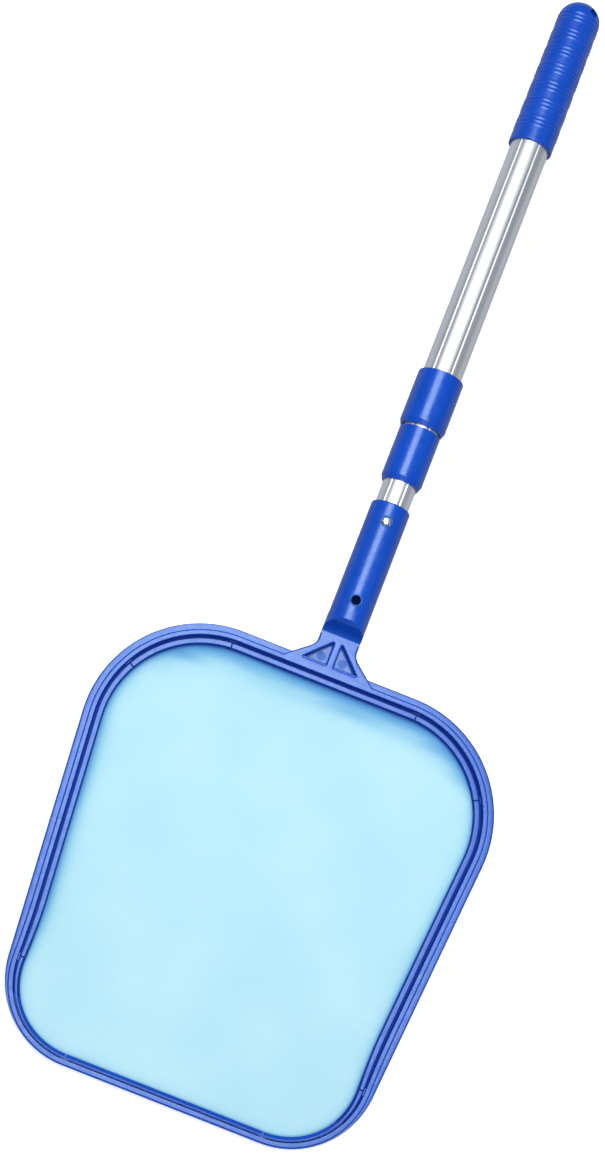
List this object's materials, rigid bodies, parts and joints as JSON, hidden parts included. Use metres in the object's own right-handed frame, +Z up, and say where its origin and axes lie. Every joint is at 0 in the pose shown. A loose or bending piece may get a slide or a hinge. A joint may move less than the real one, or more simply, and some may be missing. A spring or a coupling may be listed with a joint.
{
  "type": "leaf skimmer net",
  "caption": "Shallow fine-mesh skimmer net in a snap-together rim, clipped by a sprung button to a telescopic twist-lock pole with a ribbed grip.",
  "frame": {"origin": "on the surface that it lies on, under the middle of the whole length", "axes": "+Y along the pole to the grip's tip, +Z up out of the mesh, +X across the net"},
  "size_m": [0.2858, 0.8346, 0.0332],
  "materials": {
    "blue_plastic": "satin-gloss moulded plastic",
    "grip_plastic": "satin-gloss ribbed plastic",
    "mesh_fabric": "fine pale woven mesh",
    "tube_aluminium": "satin drawn and fluted",
    "button_steel": "polished",
    "spring_steel": "satin",
    "white_nylon": "matte moulded plastic"
  },
  "bodies": {
    "net_head": {"net_frame": "blue_plastic", "retaining_ring": "blue_plastic", "net_mesh": "mesh_fabric", "inner_tube": "tube_aluminium", "inner_tube_plug": "white_nylon", "spring_clip": "spring_steel"},
    "front_button": {"front_button": "button_steel"},
    "rear_button": {"rear_button": "button_steel"},
    "middle_section": {"middle_tube": "tube_aluminium", "middle_tube_plug": "white_nylon", "lower_lock_sleeve": "white_nylon", "lower_clamp_ring": "white_nylon"},
    "lower_lock": {"lower_lock_collar": "blue_plastic"},
    "outer_section": {"outer_tube": "tube_aluminium", "upper_lock_sleeve": "white_nylon", "upper_clamp_ring": "white_nylon", "grip": "grip_plastic"},
    "upper_lock": {"upper_lock_collar": "blue_plastic"}
  },
  "joints": [
    {"name": "middle_section_slide", "type": "slide", "parent": "net_head", "child": "middle_section", "axis": [0, 1, 0], "range_m": [0, 0.29]},
    {"name": "outer_section_slide", "type": "slide", "parent": "middle_section", "child": "outer_section", "axis": [0, 1, 0], "range_m": [0, 0.26]},
    {"name": "lower_lock_turn", "type": "hinge", "parent": "middle_section", "child": "lower_lock", "pos_m": [0, 0.044, 0.01665], "axis": [0, 1, 0], "range_deg": [0, 90]},
    {"name": "upper_lock_turn", "type": "hinge", "parent": "outer_section", "child": "upper_lock", "pos_m": [0, 0.087, 0.01665], "axis": [0, 1, 0], "range_deg": [0, 90]},
    {"name": "front_button_press", "type": "slide", "parent": "net_head", "child": "front_button", "axis": [0, 0, -1], "range_m": [0, 0.004], "stiffness_N_per_m": 2000, "springref_m": -0.002, "deforming": ["spring_clip"]},
    {"name": "rear_button_press", "type": "slide", "parent": "net_head", "child": "rear_button", "axis": [0, 0, 1], "range_m": [0, 0.004], "stiffness_N_per_m": 2000, "springref_m": -0.002, "deforming": ["spring_clip"]}
  ]
}
